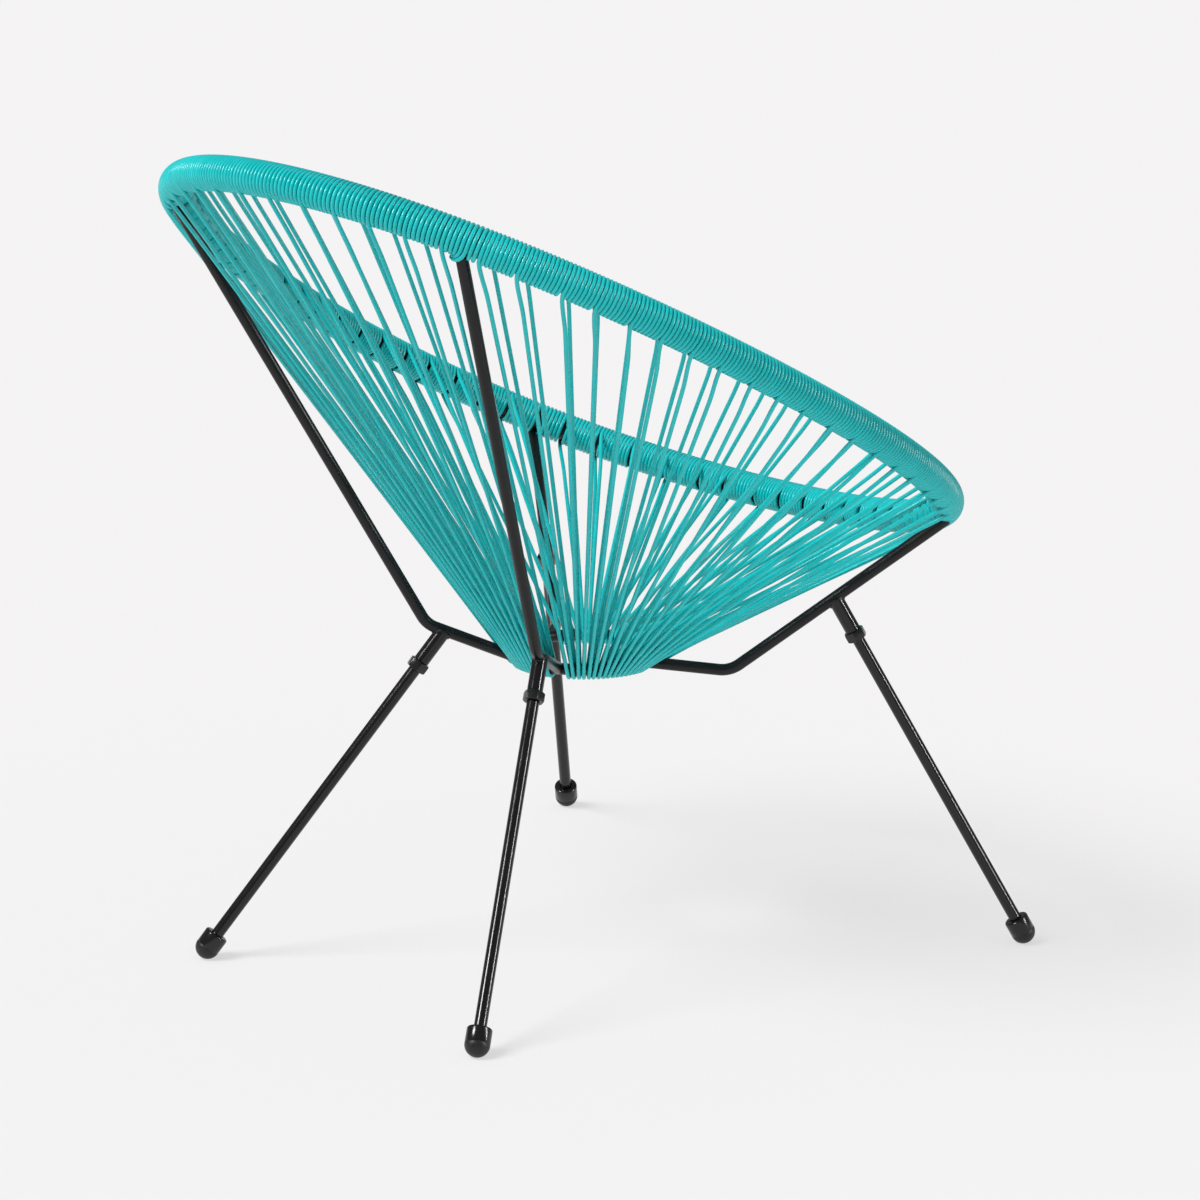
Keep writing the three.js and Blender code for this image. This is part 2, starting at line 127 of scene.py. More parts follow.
studio = {
    "floorSize": 80,
    "floorColor": (0.86, 0.855, 0.855, 1),
    "floorShade": 0.25,  # of its colour where the camera sees it, beside its glow
    "floorGlow": (0.612, 0.600, 0.605, 1),
    "backdropColor": (0.915, 0.910, 0.913, 1),
    "roomLight": 0.53,
    "roomGlint": 0.24,  # the room's light in a reflection
    "sunStrength": 3.5,
    "sunAngle": math.radians(30),
    "sunFrom": Vector((0.45, 1.0, 1.35)),
    "strips": [
        {"name": "stripRight", "place": Vector((-3.0, -1.75, 1.5)), "size": (0.1, 2.6), "power": 95},
        {"name": "softLeft", "place": Vector((0.9, 3.7, 3.3)), "size": (1.1, 1.1), "power": 170},
    ],
    "aim": Vector((0, 0, 0.45)),
}


def lookAlong(direction):
    return direction.to_track_quat("-Z", "Y").to_matrix().to_4x4()


def makeFloor(c):
    bm = bmesh.new()
    bmesh.ops.create_grid(bm, x_segments=1, y_segments=1, size=c["floorSize"] / 2)
    mesh = bpy.data.meshes.new("studioFloor")
    bm.to_mesh(mesh)
    bm.free()
    floor = bpy.data.objects.new("studioFloor", mesh)
    bpy.context.scene.collection.objects.link(floor)
    material, tree, output = newMaterial("paleFloor")
    rays = addNode(tree, "LightPath")
    seen = rayMask(tree, rays, ("Is Camera Ray", "Is Glossy Ray", "Is Transmission Ray"))
    dimColor = tuple(channel * c["floorShade"] for channel in c["floorColor"][:3]) + (1,)
    matte = addNode(tree, "BsdfDiffuse", inputs={"Color": c["floorColor"]})
    dim = addNode(tree, "BsdfDiffuse", inputs={"Color": dimColor})
    glow = addNode(tree, "Emission", inputs={"Color": c["floorGlow"], "Strength": 1})
    both = addNode(tree, "AddShader", inputs={0: dim.outputs[0], 1: glow.outputs[0]})
    mix = addNode(tree, "MixShader", inputs={0: seen, 1: matte.outputs[0], 2: both.outputs[0]})
    tree.links.new(mix.outputs[0], output.inputs["Surface"])
    mesh.materials.append(material)


def makeRoom(c):
    world = bpy.data.worlds.new("studioRoom")
    world.use_nodes = True
    tree = world.node_tree
    tree.nodes.clear()
    output = tree.nodes.new("ShaderNodeOutputWorld")
    rays = addNode(tree, "LightPath")
    seen = rayMask(tree, rays, ("Is Camera Ray", "Is Transmission Ray"))
    level = addRange(tree, rays.outputs["Is Glossy Ray"], (0, 1), (c["roomLight"], c["roomGlint"]))
    room = addNode(tree, "Background", inputs={"Color": (1, 1, 1, 1), "Strength": level})
    backdrop = addNode(tree, "Background", inputs={"Color": c["backdropColor"], "Strength": 1})
    mix = addNode(tree, "MixShader", inputs={0: seen, 1: room.outputs[0], 2: backdrop.outputs[0]})
    tree.links.new(mix.outputs[0], output.inputs["Surface"])
    bpy.context.scene.world = world


def makeLights(c):
    sun = bpy.data.lights.new("softSun", "SUN")
    sun.energy = c["sunStrength"]
    sun.angle = c["sunAngle"]
    lamp = bpy.data.objects.new("softSun", sun)
    lamp.matrix_world = lookAlong(-c["sunFrom"])
    lamp.visible_glossy = False  # the strips give the glints
    bpy.context.scene.collection.objects.link(lamp)
    for strip in c["strips"]:
        data = bpy.data.lights.new(strip["name"], "AREA")
        data.shape = "RECTANGLE"
        data.size, data.size_y = strip["size"]
        data.energy = strip["power"]
        lamp = bpy.data.objects.new(strip["name"], data)
        lamp.matrix_world = Matrix.Translation(strip["place"]) @ lookAlong(c["aim"] - strip["place"])
        lamp.visible_diffuse = False  # only a glint
        bpy.context.scene.collection.objects.link(lamp)


makeFloor(studio)
makeRoom(studio)
makeLights(studio)
bpy.context.scene.view_settings.view_transform = "Standard"
print("camera, floor and light ready")

# Finishes

steelCoat = {
    "dark": (0.0055, 0.0055, 0.006, 1),
    "light": (0.010, 0.010, 0.011, 1),
    "mottleScale": 55,
    "mottleDetail": 4,
    "mottleRoughness": 0.6,
    "mottleRange": (0.3, 0.7),
    "peelScale": 900,
    "peelDetail": 2,
    "peelStrength": 0.5,
    "peelDepth": 0.00006,
    "roughness": (0.24, 0.38),
    "shine": 0.28,
}
legCoat = {
    **steelCoat,
    "dark": (0.0035, 0.0035, 0.004, 1),
    "light": (0.006, 0.006, 0.0065, 1),
    "peelDepth": 0.00003,
    "roughness": (0.12, 0.20),
    "shine": 0.4,
}
nutCoat = {
    **steelCoat,
    "dark": (0.004, 0.004, 0.0045, 1),
    "peelScale": 1300,
    "roughness": (0.18, 0.30),
    "shine": 0.45,
}
weldCoat = {
    **steelCoat,
    "peelScale": 420,
    "peelDepth": 0.00022,
    "roughness": (0.26, 0.42),
}
sleeveRubber = {
    **steelCoat,
    "dark": (0.003, 0.003, 0.0035, 1),
    "light": (0.006, 0.006, 0.0065, 1),
    "mottleScale": 90,
    "peelScale": 1600,
    "peelDepth": 0.00002,
    "roughness": (0.15, 0.25),
    "shine": 0.45,
}
domeRubber = {
    **steelCoat,
    "dark": (0.007, 0.007, 0.0075, 1),
    "light": (0.015, 0.0145, 0.0145, 1),
    "mottleScale": 130,
    "peelScale": 1900,
    "peelDepth": 0.00008,
    "roughness": (0.36, 0.52),
    "shine": 0.35,
}


# Ends a material with its tint, its roughness and the fine relief of its surface
def finishSurface(tree, output, tint, rough, relief, shine):
    bump = addNode(tree, "Bump", inputs=relief)
    shader = addNode(tree, "BsdfPrincipled", inputs={
        "Base Color": tint,
        "Roughness": rough,
        "Normal": bump.outputs["Normal"],
        "Specular IOR Level": shine,
    })
    tree.links.new(shader.outputs[0], output.inputs["Surface"])


def darkCoat(name, c):
    material, tree, output = newMaterial(name)
    place = addNode(tree, "TexCoord").outputs["Object"]
    mottle = addNode(tree, "TexNoise", inputs={
        "Vector": place,
        "Scale": c["mottleScale"],
        "Detail": c["mottleDetail"],
        "Roughness": c["mottleRoughness"],
    }).outputs["Fac"]
    peel = addNode(tree, "TexNoise", inputs={
        "Vector": place,
        "Scale": c["peelScale"],
        "Detail": c["peelDetail"],
    }).outputs["Fac"]
    tint = addNode(tree, "Mix", {"data_type": "RGBA"}, {"Factor": mottle, "A": c["dark"], "B": c["light"]})
    rough = addRange(tree, mottle, c["mottleRange"], c["roughness"])
    relief = {"Height": peel, "Strength": c["peelStrength"], "Distance": c["peelDepth"]}
    finishSurface(tree, output, tint.outputs["Result"], rough, relief, c["shine"])
    return material


cordPlastic = {
    "deep": (0.0, 0.400, 0.409, 1),
    "fair": (0.006, 0.470, 0.479, 1),
    "patchScale": 9,
    "patchRoughness": 0.55,
    "patchShare": 0.5,  # of the tint, the rest follows the streaks along the cord
    "streakScale": 28,
    "detail": 3,
    "tintRange": (0.3, 0.7),
    "grainScale": 1100,
    "grainDetail": 2,
    "grainStrength": 0.4,
    "grainDepth": 0.000012,
    "roughness": (0.22, 0.34),
    "shine": 0.36,
}


def softPlastic(name, c):
    material, tree, output = newMaterial(name)
    place = addNode(tree, "TexCoord").outputs["Object"]
    along = addNode(tree, "Attribute", {"attribute_name": "cordRun"}).outputs["Fac"]
    patch = addNode(tree, "TexNoise", inputs={
        "Vector": place,
        "Scale": c["patchScale"],
        "Detail": c["detail"],
        "Roughness": c["patchRoughness"],
    }).outputs["Fac"]
    streak = addNode(tree, "TexNoise", {"noise_dimensions": "1D"}, {
        "W": along,
        "Scale": c["streakScale"],
        "Detail": c["detail"],
    }).outputs["Fac"]
    grain = addNode(tree, "TexNoise", inputs={
        "Vector": place,
        "Scale": c["grainScale"],
        "Detail": c["grainDetail"],
    }).outputs["Fac"]
    patched = addNode(tree, "Math", {"operation": "MULTIPLY"}, {0: patch, 1: c["patchShare"]}).outputs[0]
    blend = addNode(tree, "Math", {"operation": "MULTIPLY_ADD"}, {
        0: streak,
        1: 1 - c["patchShare"],
        2: patched,
    }).outputs[0]
    factor = addRange(tree, blend, c["tintRange"], (0, 1))
    tint = addNode(tree, "Mix", {"data_type": "RGBA"}, {"Factor": factor, "A": c["deep"], "B": c["fair"]})
    rough = addRange(tree, streak, c["tintRange"], c["roughness"])
    relief = {"Height": grain, "Strength": c["grainStrength"], "Distance": c["grainDepth"]}
    finishSurface(tree, output, tint.outputs["Result"], rough, relief, c["shine"])
    return material


finishes = {
    "steel": darkCoat("blackCoatedSteel", steelCoat),
    "leg": darkCoat("glossBlackLeg", legCoat),
    "nut": darkCoat("blackCoatedNut", nutCoat),
    "weld": darkCoat("blackCoatedWeld", weldCoat),
    "sleeve": darkCoat("blackRubberSleeve", sleeveRubber),
    "dome": darkCoat("wornRubberDome", domeRubber),
    "cord": softPlastic("turquoisePlasticCord", cordPlastic),
}
print("finishes ready:", len(finishes))

# Making pieces

mergeDistance = 1e-6
cutTolerance = 1e-7
smoothBelow = math.radians(35)


def addPiece(name, mesh, body, replaced, materials, sharpAngle=smoothBelow):
    piece = bpy.data.objects.new(name, mesh)
    bpy.context.scene.collection.objects.link(piece)
    for material in materials:
        mesh.materials.append(finishes[material])
    mesh.polygons.foreach_set("use_smooth", [True] * len(mesh.polygons))
    if sharpAngle:
        mesh.set_sharp_from_angle(angle=sharpAngle)
    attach(piece, body)
    if replaced:
        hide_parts(*replaced)
    return piece


def meshOf(bm, name, place=None):
    if place is not None:
        bmesh.ops.transform(bm, matrix=place, verts=bm.verts)
    mesh = bpy.data.meshes.new(name)
    bm.to_mesh(mesh)
    bm.free()
    return mesh


# A round bar or cord along a path, closed on itself or with flat ends
def tubeMesh(name, path, radius, resolution, closed=False, swell=None):
    curve = bpy.data.curves.new(name, "CURVE")
    curve.dimensions = "3D"
    curve.bevel_depth = radius
    curve.bevel_resolution = resolution
    curve.use_fill_caps = not closed
    spline = curve.splines.new("POLY")
    spline.points.add(len(path) - 1)
    for point, place in zip(spline.points, path):
        point.co = (*place, 1)
    for point, share in zip(spline.points, swell or []):
        point.radius = share
    spline.use_cyclic_u = closed
    holder = bpy.data.objects.new(name, curve)
    bpy.context.scene.collection.objects.link(holder)
    mesh = bpy.data.meshes.new_from_object(holder)
    bpy.data.objects.remove(holder)
    bpy.data.curves.remove(curve)
    return mesh


# Sides of the tube that tubeMesh makes
def sidesOf(resolution):
    return 4 + 2 * resolution


# Joins the caps of a tube to its wall
def mergeCaps(mesh):
    bm = bmesh.new()
    bm.from_mesh(mesh)
    bmesh.ops.remove_doubles(bm, verts=bm.verts, dist=mergeDistance)
    bmesh.ops.recalc_face_normals(bm, faces=bm.faces)
    bm.to_mesh(mesh)
    bm.free()
    return mesh


# A turned piece about Z, from its outline of (radius, height) pairs
def turnedShape(outline, steps):
    bm = bmesh.new()
    verts = [bm.verts.new((radius, 0, height)) for radius, height in outline]
    edges = [bm.edges.new(pair) for pair in zip(verts, verts[1:])]
    bmesh.ops.spin(bm, geom=verts + edges, cent=(0, 0, 0), axis=upward,
                   angle=fullTurn, steps=steps, use_merge=True)
    bmesh.ops.remove_doubles(bm, verts=bm.verts, dist=mergeDistance)
    bmesh.ops.recalc_face_normals(bm, faces=bm.faces)
    return bm


# The hoop: turn 0 is the middle of the back, a quarter turn the left side, half a turn the front

hoopShape = {
    "halfWidth": 0.3768,
    "halfLength": 0.4296,
    "centreHeight": 0.6219,
    "tubeRadius": 0.0127,
    "lean": math.radians(29.86),
    "eggShares": (-0.1502, 0.0721, 0.02),  # of the half width, by the cosine and its powers
    "samples": 1440,
    "rings": 240,
    "roundness": 10,
}
hoopNormal = Vector((0, -math.sin(hoopShape["lean"]), math.cos(hoopShape["lean"])))


def hoopPoint(turn):
    c = math.cos(turn)
    egg = 1 + sum(share * c ** (power + 1) for power, share in enumerate(hoopShape["eggShares"]))
    along = hoopShape["halfLength"] * c
    return Vector((
        hoopShape["halfWidth"] * math.sin(turn) * egg,
        along * math.cos(hoopShape["lean"]),
        hoopShape["centreHeight"] + along * math.sin(hoopShape["lean"]),
    ))


hoopArc = [0.0]
for sample in range(hoopShape["samples"]):
    step = fullTurn / hoopShape["samples"]
    hoopArc.append(hoopArc[-1] + (hoopPoint((sample + 1) * step) - hoopPoint(sample * step)).length)
hoopLength = hoopArc[-1]


def arcAtTurn(turn):
    laps = math.floor(turn / fullTurn)
    place = (turn / fullTurn - laps) * hoopShape["samples"]
    i = min(int(place), hoopShape["samples"] - 1)
    return laps * hoopLength + hoopArc[i] + (hoopArc[i + 1] - hoopArc[i]) * (place - i)


def turnAtArc(arc):
    laps = math.floor(arc / hoopLength)
    rest = arc - laps * hoopLength
    low, high = 0, hoopShape["samples"]
    while high - low > 1:
        middle = (low + high) // 2
        if hoopArc[middle] <= rest:
            low = middle
        else:
            high = middle
    part = (rest - hoopArc[low]) / (hoopArc[low + 1] - hoopArc[low])
    return (laps + (low + part) / hoopShape["samples"]) * fullTurn


# The hoop's centre, its direction and the inward direction in its plane
def hoopFrame(arc):
    turn = turnAtArc(arc)
    step = fullTurn / hoopShape["samples"]
    centre = hoopPoint(turn)
    along = (hoopPoint(turn + step) - hoopPoint(turn - step)).normalized()
    inward = along.cross(hoopNormal).normalized()
    return centre, along, inward


# A point round the hoop: angle 0 is inward, a quarter turn up, half a turn outward
def aroundHoop(arc, angle, radius):
    centre, _, inward = hoopFrame(arc)
    return centre + radius * (math.cos(angle) * inward + math.sin(angle) * hoopNormal)


hoopPath = [hoopPoint(turnAtArc(hoopLength * i / hoopShape["rings"])) for i in range(hoopShape["rings"])]
hoopMesh = tubeMesh("hoopTube", hoopPath, hoopShape["tubeRadius"], hoopShape["roundness"], closed=True)
addPiece("hoopTube", mergeCaps(hoopMesh), "frame", ["hoop"], ["steel"])

# The ring under the seat

ringShape = {
    "radius": 0.0718,
    "barRadius": 0.006,
    "height": 0.3005,
    "forward": 0.0509,
    "steps": 144,
    "sides": 28,
}
ringMiddle = Vector((0, -ringShape["forward"], ringShape["height"]))


# A direction from its azimuth, counted from the back towards the left, and its rise
def direction(azimuth, rise=0.0):
    return Vector((
        math.sin(azimuth) * math.cos(rise),
        math.cos(azimuth) * math.cos(rise),
        math.sin(rise),
    ))


def ringPoint(turn):
    return ringMiddle + ringShape["radius"] * direction(turn)


def ringMesh(c):
    bm = bmesh.new()
    made = bmesh.ops.create_circle(bm, cap_ends=False, radius=c["barRadius"], segments=c["sides"])
    stand = Matrix.Translation((c["radius"], 0, 0)) @ Matrix.Rotation(math.pi / 2, 4, "X")
    bmesh.ops.transform(bm, matrix=stand, verts=made["verts"])
    bmesh.ops.spin(bm, geom=bm.verts[:] + bm.edges[:], cent=(0, 0, 0), axis=upward,
                   angle=fullTurn, steps=c["steps"], use_merge=True)
    bmesh.ops.recalc_face_normals(bm, faces=bm.faces)
    return meshOf(bm, "bottomRingBar", Matrix.Translation(ringMiddle))


addPiece("bottomRingBar", ringMesh(ringShape), "frame", ["bottom_ring"], ["steel"])

# The four struts

strutShape = {
    "radius": 0.006,
    "bendRadius": 0.028,
    "sides": 28,
    "bendSteps": 12,
    "edge": 0.0006,
    "edgeSteps": 2,
}
rearStrut = {
    "hoopTurn": math.radians(36.58),
    "underHoop": 0.0091,
    "endOverrun": 0.002,
    "ringTurn": math.radians(24.9),
    "footAzimuth": math.radians(33.18),
    "footRise": math.radians(23.18),
    "footLength": 0.1021,
    "socketFromBend": -0.0192,
    "legAzimuth": math.radians(32.42),
    "legLean": math.radians(37.76),
}
frontStrut = {
    "hoopTurn": math.radians(135.96),
    "underHoop": 0.0209,
    "endOverrun": 0.010,
    "ringTurn": math.radians(102),
    "footAzimuth": math.radians(138.3),
    "footRise": math.radians(-6.88),
    "footLength": 0.0894,
    "socketFromBend": 0.1336,
    "legAzimuth": math.radians(139.63),
    "legLean": math.radians(29.01),
}
corners = [
    {"node": "rear_left", "label": "RearLeft", "shape": rearStrut, "side": 1},
    {"node": "front_left", "label": "FrontLeft", "shape": frontStrut, "side": 1},
    {"node": "front_right", "label": "FrontRight", "shape": frontStrut, "side": -1},
    {"node": "rear_right", "label": "RearRight", "shape": rearStrut, "side": -1},
]
for corner in corners:
    shape, side = corner["shape"], corner["side"]
    corner["hoopTurn"] = shape["hoopTurn"] if side > 0 else fullTurn - shape["hoopTurn"]
    corner["ringTurn"] = shape["ringTurn"] if side > 0 else fullTurn - shape["ringTurn"]
    corner["ringEnd"] = ringPoint(side * shape["ringTurn"])
    footRun = direction(side * shape["footAzimuth"], shape["footRise"])
    corner["bend"] = corner["ringEnd"] + shape["footLength"] * footRun
    corner["hoopEnd"] = hoopPoint(side * shape["hoopTurn"]) - shape["underHoop"] * hoopNormal
    corner["foot"] = (corner["bend"] - corner["ringEnd"]).normalized()
    corner["arm"] = (corner["hoopEnd"] - corner["bend"]).normalized()


# Pulls the edges of an open rim along by a move and gives the new rim
def pullRim(bm, edges, move):
    made = bmesh.ops.extrude_edge_only(bm, edges=edges)["geom"]
    verts = [item for item in made if isinstance(item, bmesh.types.BMVert)]
    bmesh.ops.translate(bm, vec=move, verts=verts)
    return [item for item in made if isinstance(item, bmesh.types.BMEdge)
            and all(vert in verts for vert in item.verts)]


# A bar pulled out of a circle: straight, round the bend, and straight on
def strutMesh(c, corner):
    foot, arm, bend = corner["foot"], corner["arm"], corner["bend"]
    half = foot.angle(arm) / 2
    setback = c["bendRadius"] * math.tan(half)
    bendStart = bend - setback * foot
    centre = bend + (arm - foot).normalized() * (c["bendRadius"] / math.cos(half))
    end = corner["hoopEnd"] + corner["shape"]["endOverrun"] * arm
    bm = bmesh.new()
    bmesh.ops.create_circle(bm, cap_ends=False, radius=c["radius"], segments=c["sides"])
    start = Matrix.Translation(corner["ringEnd"]) @ upward.rotation_difference(foot).to_matrix().to_4x4()
    bmesh.ops.transform(bm, matrix=start, verts=bm.verts)
    rim = pullRim(bm, bm.edges[:], bendStart - corner["ringEnd"])
    rimVerts = list({vert for edge in rim for vert in edge.verts})
    made = bmesh.ops.spin(bm, geom=rim + rimVerts, cent=centre, axis=foot.cross(arm).normalized(),
                          angle=2 * half, steps=c["bendSteps"], use_merge=False)
    rim = [item for item in made["geom_last"] if isinstance(item, bmesh.types.BMEdge)]
    pullRim(bm, rim, end - (bend + setback * arm))
    bmesh.ops.holes_fill(bm, edges=[edge for edge in bm.edges if edge.is_boundary], sides=0)
    bmesh.ops.recalc_face_normals(bm, faces=bm.faces)
    ends = [edge for edge in bm.edges if any(len(face.verts) > 4 for face in edge.link_faces)]
    bmesh.ops.bevel(bm, geom=ends, offset=c["edge"], segments=c["edgeSteps"], profile=0.5,
                    affect="EDGES", material=-1)
    return meshOf(bm, "strutBar" + corner["label"])


for corner in corners:
    addPiece("strutBar" + corner["label"], strutMesh(strutShape, corner), "frame",
             ["strut_" + corner["node"]], ["steel"])
print("hoop, ring and struts made")

# Seat cord: wound round the hoop, with strands that run under the ring and back

cordShape = {
    "radius": 0.0021,
    "sharpAngle": math.radians(60),
    "gap": 0.0001,
    "windingRoom": 0.0006,  # a wound cord lies a little loose on the tube
    "bareGap": 0.0003,
    "stepsPerTurn": 32,
    "roundness": 3,
    "skipShare": 0.55,  # of the pitch, from a strand's leaving turn to its return
    "bendLength": 0.055,
    "bendSteps": 7,
    "turnHold": 0.5,
    "ringSteps": 9,
    "wrapSides": 6,  # of a turn round the ring, which sets how far it reaches out
    "wrapRoom": 0.0002,
    "strutFootRoom": 0.0031,
    "seatGap": 0.0003,
    "ringWander": 0.0035,
    "wanderSeed": 7,
    "endAngle": math.radians(300),
}
cordSectors = [
    {"label": "Left", "node": "seat_cord_left", "from": 0, "to": 1, "stack": 0.35,
     "turns": (2, 8, 8, 9, 8, 8, 9, 8, 9, 8, 9, 8, 9, 9, 8, 9, 8, 9, 9, 8, 8)},
    {"label": "Front", "node": "seat_cord_front", "from": 1, "to": 2, "stack": 0.35,
     "turns": (5, 10, 10, 10, 11, 8, 10, 9, 9, 8, 8, 7, 8, 8, 8, 7, 7, 7, 6, 1)},
    {"label": "Right", "node": "seat_cord_right", "from": 2, "to": 3, "stack": 1.0,
     "turns": (7, 8, 8, 7, 10, 8, 9, 9, 8, 9, 8, 8, 9, 8, 8, 8, 9, 8, 11, 9, 2)},
    {"label": "Back", "node": "seat_cord_back", "from": 3, "to": 0, "stack": 1.0,
     "turns": (2, 8, 8, 8, 8, 9, 9, 9, 9, 8, 9, 8, 5)},
]
ringArcStrands = (17, 25, 17, 12)  # between two struts' feet, from the left side round by the front
windingRadius = hoopShape["tubeRadius"] + cordShape["windingRoom"] + cordShape["radius"]
ringWrapRadius = ringShape["barRadius"] + cordShape["gap"] + cordShape["radius"]


# How far before and after a strut's place the winding under the hoop has to stop
def bareStretch(corner):
    place = arcAtTurn(corner["hoopTurn"])
    centre, along, _ = hoopFrame(place)
    wound = hoopShape["tubeRadius"] + cordShape["bareGap"] + 2 * cordShape["radius"]
    reach = wound + strutShape["radius"]
    halfWidth = (strutShape["radius"] + cordShape["seatGap"]) * math.sin(corner["arm"].angle(along))
    before = after = 0.0
    samples = 60
    for i in range(samples + 1):
        overrun = corner["shape"]["endOverrun"]
        down = -overrun + (2 * reach + overrun) * i / samples
        offset = corner["hoopEnd"] - down * corner["arm"] - centre
        lengthwise = offset.dot(along)
        if (offset - lengthwise * along).length < reach:
            before = max(before, halfWidth - lengthwise)
            after = max(after, halfWidth + lengthwise)
    return place, before + cordShape["bareGap"], after + cordShape["bareGap"]


for corner in corners:
    corner["place"], corner["before"], corner["after"] = bareStretch(corner)
for sector in cordSectors:
    first, last = corners[sector["from"]], corners[sector["to"]]
    start = first["place"] + first["after"]
    lap = hoopLength if last["place"] < first["place"] else 0
    end = last["place"] + lap - last["before"]
    sector["pitch"] = (end - start) / sum(sector["turns"])
    sector["places"] = [start]
    for count in sector["turns"]:
        sector["places"].append(sector["places"][-1] + count * sector["pitch"])
    sector["bareStart"] = first["place"] - first["before"]


# The turn round the ring that a strand keeps from a strut's foot, on the side given by towards
def clearOf(corner, towards):
    need = strutShape["radius"] + cordShape["radius"] + cordShape["seatGap"]
    inside = ringShape["radius"] + ringShape["barRadius"]
    reach = (ringWrapRadius + cordShape["wrapRoom"]) / math.cos(math.pi / cordShape["wrapSides"])
    outside = ringShape["radius"] + reach + cordShape["radius"]
    drift = corner["side"] * (corner["shape"]["footAzimuth"] - corner["shape"]["ringTurn"])
    sideways = (outside - ringShape["radius"]) * math.tan(drift) * towards
    return math.asin(max(need / inside, (need + cordShape["strutFootRoom"] + sideways) / outside))


ringTurns = []
for i, corner in enumerate(corners):
    following = corners[(i + 1) % len(corners)]
    lap = fullTurn if i == len(corners) - 1 else 0
    low = corner["ringTurn"] + clearOf(corner, 1)
    high = following["ringTurn"] + lap - clearOf(following, -1)
    count = ringArcStrands[i]
    ringTurns += [low + (high - low) * n / (count - 1) for n in range(count)]
wander = random.Random(cordShape["wanderSeed"])
ringTurns = [turn + wander.uniform(-1, 1) * cordShape["ringWander"] for turn in ringTurns]


# The straight part of a strand: the common tangent of the winding and of the turn round the ring
def strandEnds(arc, ringTurn, side):
    centre, along, _ = hoopFrame(arc)
    ringCentre = ringPoint(ringTurn)
    ringAlong = direction(ringTurn + fullTurn / 4)
    outDown = Vector((centre.x, centre.y + ringShape["forward"], 0)).normalized() - upward
    hoopOffset, ringOffset = Vector(), Vector()
    passes = 12
    for _ in range(passes):
        run = (ringCentre + ringOffset - centre - hoopOffset).normalized()
        hoopOffset = run.cross(along).normalized()
        hoopOffset *= math.copysign(windingRadius, hoopOffset.dot(outDown)) * side
        ringOffset = run.cross(ringAlong).normalized()
        ringOffset *= math.copysign(ringWrapRadius, ringOffset.dot(outDown)) * side
    return centre + hoopOffset, ringCentre + ringOffset, hoopOffset, ringOffset


def angleRoundHoop(arc, offset):
    _, _, inward = hoopFrame(arc)
    return math.atan2(offset.dot(hoopNormal), offset.dot(inward)) % fullTurn


def smoothStep(share):
    share = min(max(share, 0.0), 1.0)
    return share * share * (3 - 2 * share)


# A bend from one point and its heading to another, the longer heading holding its line for longer
def bendPoints(start, heading, end, arrival, steps):
    reach = (end - start).length
    found = []
    for i in range(1, steps):
        t = i / steps
        found.append(
            start * (2 * t ** 3 - 3 * t ** 2 + 1)
            + heading * reach * (t ** 3 - 2 * t ** 2 + t)
            + end * (3 * t ** 2 - 2 * t ** 3)
            + arrival * reach * (t ** 3 - t ** 2)
        )
    return found


# How the turns that cross a strut bend to its far side below the hoop, and lie over each other there
crossing = {
    "leave": math.radians(226),  # starts to move aside
    "beside": math.radians(306),  # lies at the strut's far side
    "gatherPower": 1.5,
    "drop": math.radians(222),  # starts to hang below the others
    "dropped": math.radians(282),
    "free": math.radians(322),  # starts to go back
    "back": math.radians(405),
    "reachIn": 0.002,
    "besideStrut": -0.0008,
    "stackFrom": 1.2,  # turns, counted from the strut's far side
    "stackStep": 0.0030,
}


# How far a crossing turn has moved towards the strut's side, and how far it hangs below the others
def crossingPull(angle, c):
    turned = angle % fullTurn
    if turned < c["back"] - fullTurn:
        turned += fullTurn
    aside = min(max((turned - c["leave"]) / (c["beside"] - c["leave"]), 0), 1) ** c["gatherPower"]
    down = (turned - c["drop"]) / (c["dropped"] - c["drop"])
    fall = smoothStep((c["back"] - turned) / (c["back"] - c["free"]))
    return smoothStep(aside) * fall, smoothStep(down) * fall


# The wound stretch from one place and angle to another, with the turns before strutSide bent past a strut
def windingPoints(arcStart, angleStart, arcEnd, angleEnd, strutSide, stack):
    c = crossing
    steps = max(2, round((angleEnd - angleStart) / fullTurn * cordShape["stepsPerTurn"]))
    pitch = (arcEnd - arcStart) / (angleEnd - angleStart) * fullTurn
    found = []
    for i in range(steps + 1):
        share = i / steps
        angle = angleStart + (angleEnd - angleStart) * share
        arc = arcStart + (arcEnd - arcStart) * share
        radius = windingRadius
        if strutSide is not None and arc < strutSide and angle > fullTurn / 4:
            layer = (strutSide - arc) / pitch
            aside, down = crossingPull(angle, c)
            arc += (strutSide + c["besideStrut"] - arc) * aside
            radius += stack * c["stackStep"] * max(layer - c["stackFrom"], 0) * down
        found.append(aroundHoop(arc, angle, radius))
    return found


